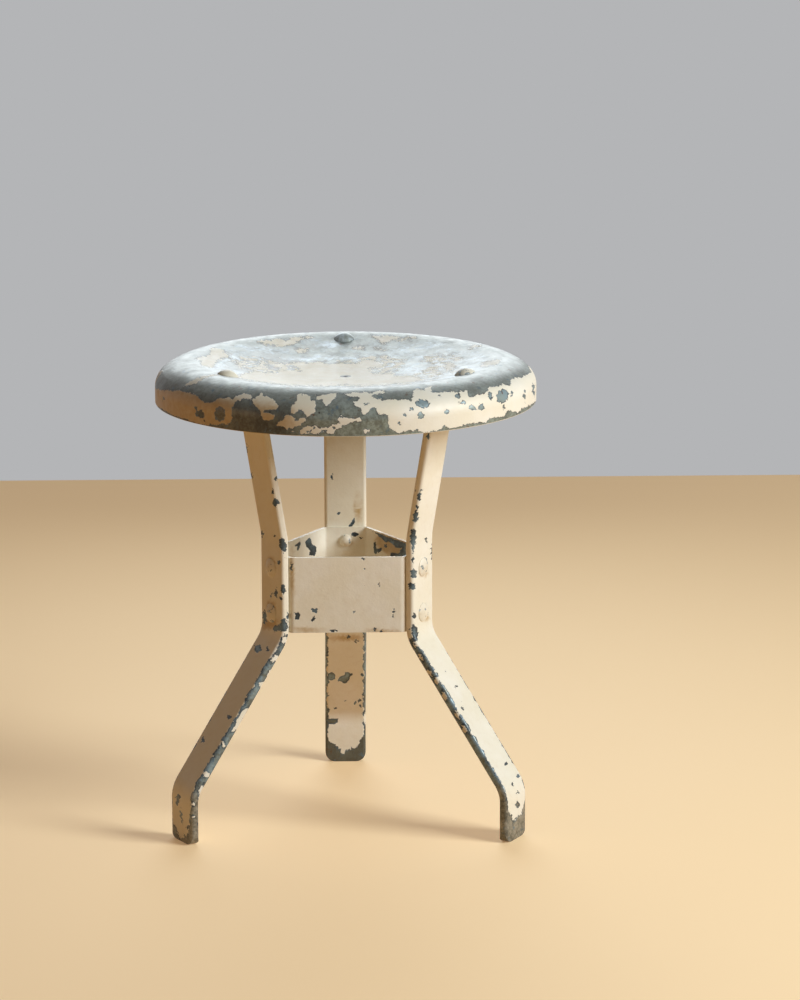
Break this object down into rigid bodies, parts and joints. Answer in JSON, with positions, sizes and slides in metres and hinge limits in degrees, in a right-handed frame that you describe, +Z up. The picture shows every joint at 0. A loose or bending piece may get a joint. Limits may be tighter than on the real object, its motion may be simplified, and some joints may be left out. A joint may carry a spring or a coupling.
{
  "type": "milking stool",
  "caption": "Low steel stool: a round dished seat with a rolled rim on splayed flat-bar legs, riveted to the seat and to a brace collar at their waist.",
  "frame": {"origin": "on the floor, on the seat's axis", "axes": "+Z up along the seat's axis; the back leg stands on +Y and the front is -Y"},
  "size_m": [0.336, 0.3386, 0.4176],
  "materials": {
    "seat_paint": "cream paint worn off the rim and dish to grey primer and steel",
    "leg_paint": "satin cream paint, chipped to slate grey along the edges and worn off the feet",
    "collar_paint": "satin cream paint with small chips, more worn inside",
    "seat_rivet_steel": "bare grey steel worn smooth, with paint left round the edge",
    "collar_rivet_paint": "satin cream paint, rusty at the tails"
  },
  "bodies": {
    "root": {"seat_pan": "seat_paint", "brace_collar": "collar_paint", "leg_back": "leg_paint", "leg_front_left": "leg_paint", "leg_front_right": "leg_paint", "seat_rivet_back": "seat_rivet_steel", "seat_rivet_front_left": "seat_rivet_steel", "seat_rivet_front_right": "seat_rivet_steel", "collar_rivet_back_upper": "collar_rivet_paint", "collar_rivet_back_lower": "collar_rivet_paint", "collar_rivet_front_left_upper": "collar_rivet_paint", "collar_rivet_front_left_lower": "collar_rivet_paint", "collar_rivet_front_right_upper": "collar_rivet_paint", "collar_rivet_front_right_lower": "collar_rivet_paint"}
  },
  "joints": []
}
